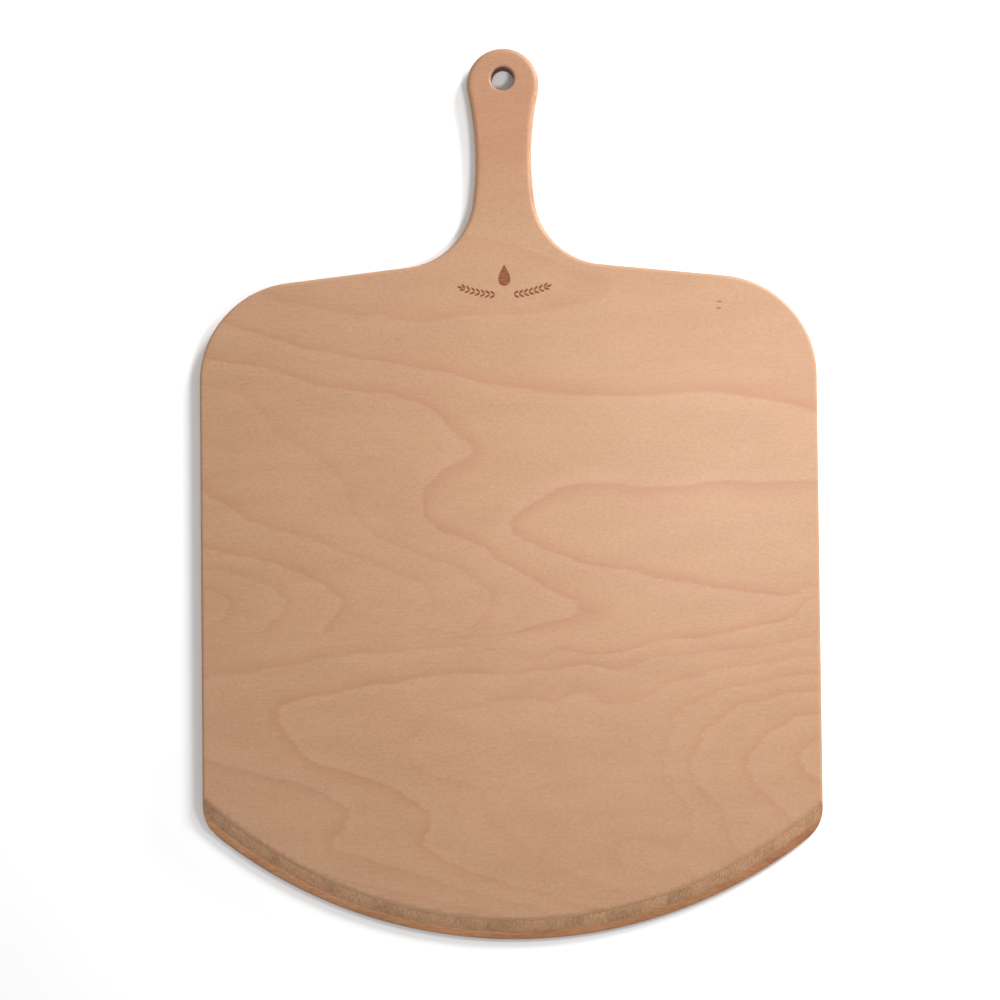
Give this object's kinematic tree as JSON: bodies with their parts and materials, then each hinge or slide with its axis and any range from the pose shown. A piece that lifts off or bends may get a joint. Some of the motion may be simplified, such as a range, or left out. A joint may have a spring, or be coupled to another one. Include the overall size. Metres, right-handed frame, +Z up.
{
  "type": "pizza peel",
  "caption": "Flat plywood peel with a squared blade, bevelled curved front edge and a short waisted handle with a hanging hole, for sliding a pizza in and out of an oven.",
  "frame": {"origin": "on the underside, at the middle of the whole outline including the handle", "axes": "+Z up through the thickness, +Y towards the handle, -Y towards the bevelled front edge, +X to the right seen from above with the handle pointing away"},
  "size_m": [0.36, 0.52, 0.01],
  "materials": {
    "face_veneer": "sanded and lightly oiled rotary-cut beech, grain across the blade",
    "crossband": "sanded beech with its grain along the handle, duller where the bevel cuts it",
    "centre_ply": "sanded beech with its grain across the blade, redder than the faces",
    "glue_line": "cured adhesive, seen as thin dark lines round the edge and along the bevel"
  },
  "bodies": {
    "root": {"bottom_face_veneer": "face_veneer", "bottom_glue_film": "glue_line", "lower_crossband": "crossband", "lower_glue_film": "glue_line", "centre_ply": "centre_ply", "upper_glue_film": "glue_line", "upper_crossband": "crossband", "top_glue_film": "glue_line", "top_face_veneer": "face_veneer"}
  },
  "joints": []
}
